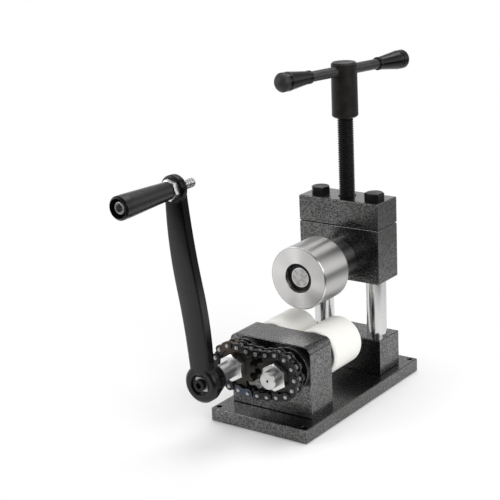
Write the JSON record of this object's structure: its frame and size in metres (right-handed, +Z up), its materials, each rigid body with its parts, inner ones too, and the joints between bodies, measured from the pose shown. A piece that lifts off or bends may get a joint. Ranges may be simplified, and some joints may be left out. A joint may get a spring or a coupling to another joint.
{
  "type": "ring bending tool",
  "caption": "Bench ring bender: hand crank and roller chain turn lower plastic rolls under a screw-fed steel roll that slides on guide posts.",
  "frame": {"origin": "centre of the underside of the base plate", "axes": "+Z up, +X to the right along the front, the chain side faces -Y"},
  "size_m": [0.096, 0.3468, 0.2859],
  "materials": {
    "hammered_paint": "hammered charcoal enamel",
    "black_oxide": "black oxide",
    "bush_steel": "blackened, turned",
    "post_chrome": "polished",
    "bronze": "turned bronze",
    "chain_steel": "oiled dark steel",
    "master_steel": "blued steel",
    "pin_steel": "bright pin ends",
    "sprocket_steel": "oiled dark steel",
    "roll_steel": "fine turned",
    "bearing_seal": "black sealed face",
    "shaft_steel": "ground",
    "zinc": "bright zinc plate",
    "nylon": "machined ivory plastic",
    "crank_black": "satin black",
    "grip_plastic": "satin black",
    "bar_plastic": "gloss black"
  },
  "bodies": {
    "frame": {"base_plate": "hammered_paint", "base_screws": "black_oxide", "front_block": "hammered_paint", "shaft_bushes": "bush_steel", "rear_block": "hammered_paint", "guide_posts": "post_chrome", "top_plate": "hammered_paint", "post_bolts": "black_oxide", "lead_nut": "bronze", "chain_inner_plates": "chain_steel", "chain_outer_plates": "chain_steel", "chain_master_link": "master_steel", "chain_offset_link": "chain_steel", "chain_pins": "pin_steel", "chain_rollers": "chain_steel"},
    "carriage": {"carriage_block": "hammered_paint", "carriage_bushes": "bronze", "roll_axle": "shaft_steel", "axle_washer": "shaft_steel", "axle_nut": "zinc", "axle_clip": "black_oxide", "screw_keeper": "bush_steel", "keeper_screws": "black_oxide"},
    "upper_roll": {"steel_roll": "roll_steel", "roll_bearings": "bearing_seal"},
    "screw": {"press_screw": "black_oxide", "handle_hub": "black_oxide", "hub_pin": "black_oxide", "cross_bar": "black_oxide", "bar_grips": "bar_plastic"},
    "drive": {"drive_shaft": "shaft_steel", "drive_sprocket": "sprocket_steel", "drive_set_screw": "black_oxide", "drive_nut": "zinc", "drive_roll": "nylon", "drive_cap": "shaft_steel", "drive_cap_screw": "black_oxide", "crank_arm": "crank_black", "crank_bolt": "black_oxide", "handle_stud": "zinc", "handle_nut": "zinc"},
    "grip": {"handle_grip": "grip_plastic"},
    "driven": {"driven_shaft": "shaft_steel", "driven_sprocket": "sprocket_steel", "driven_set_screw": "black_oxide", "driven_nut": "zinc", "driven_roll": "nylon", "driven_cap": "shaft_steel", "driven_cap_screw": "black_oxide"}
  },
  "joints": [
    {"name": "screw_turn", "type": "hinge", "parent": "carriage", "child": "screw", "pos_m": [0, 0.056, 0.2], "axis": [0, 0, 1], "range_deg": [-2700, 0]},
    {"name": "carriage_feed", "type": "slide", "parent": "frame", "child": "carriage", "axis": [0, 0, 1], "range_m": [-0.015, 0]},
    {"name": "upper_roll_spin", "type": "hinge", "parent": "carriage", "child": "upper_roll", "pos_m": [0, 0, 0.1145], "axis": [0, 1, 0], "continuous": true},
    {"name": "crank_spin", "type": "hinge", "parent": "frame", "child": "drive", "pos_m": [-0.02125, 0, 0.0545], "axis": [0, 1, 0], "continuous": true, "deforming": ["chain_inner_plates", "chain_outer_plates", "chain_master_link", "chain_offset_link", "chain_pins", "chain_rollers"]},
    {"name": "driven_spin", "type": "hinge", "parent": "frame", "child": "driven", "pos_m": [0.02125, 0, 0.0545], "axis": [0, 1, 0], "continuous": true},
    {"name": "grip_spin", "type": "hinge", "parent": "drive", "child": "grip", "pos_m": [-0.02413, -0.19, 0.21948], "axis": [0, 1, 0], "continuous": true}
  ],
  "couplings": [
    {"joint": "carriage_feed", "follows": "screw_turn", "m_per_rad": 0.00031831},
    {"joint": "driven_spin", "follows": "crank_spin", "ratio": 1}
  ]
}
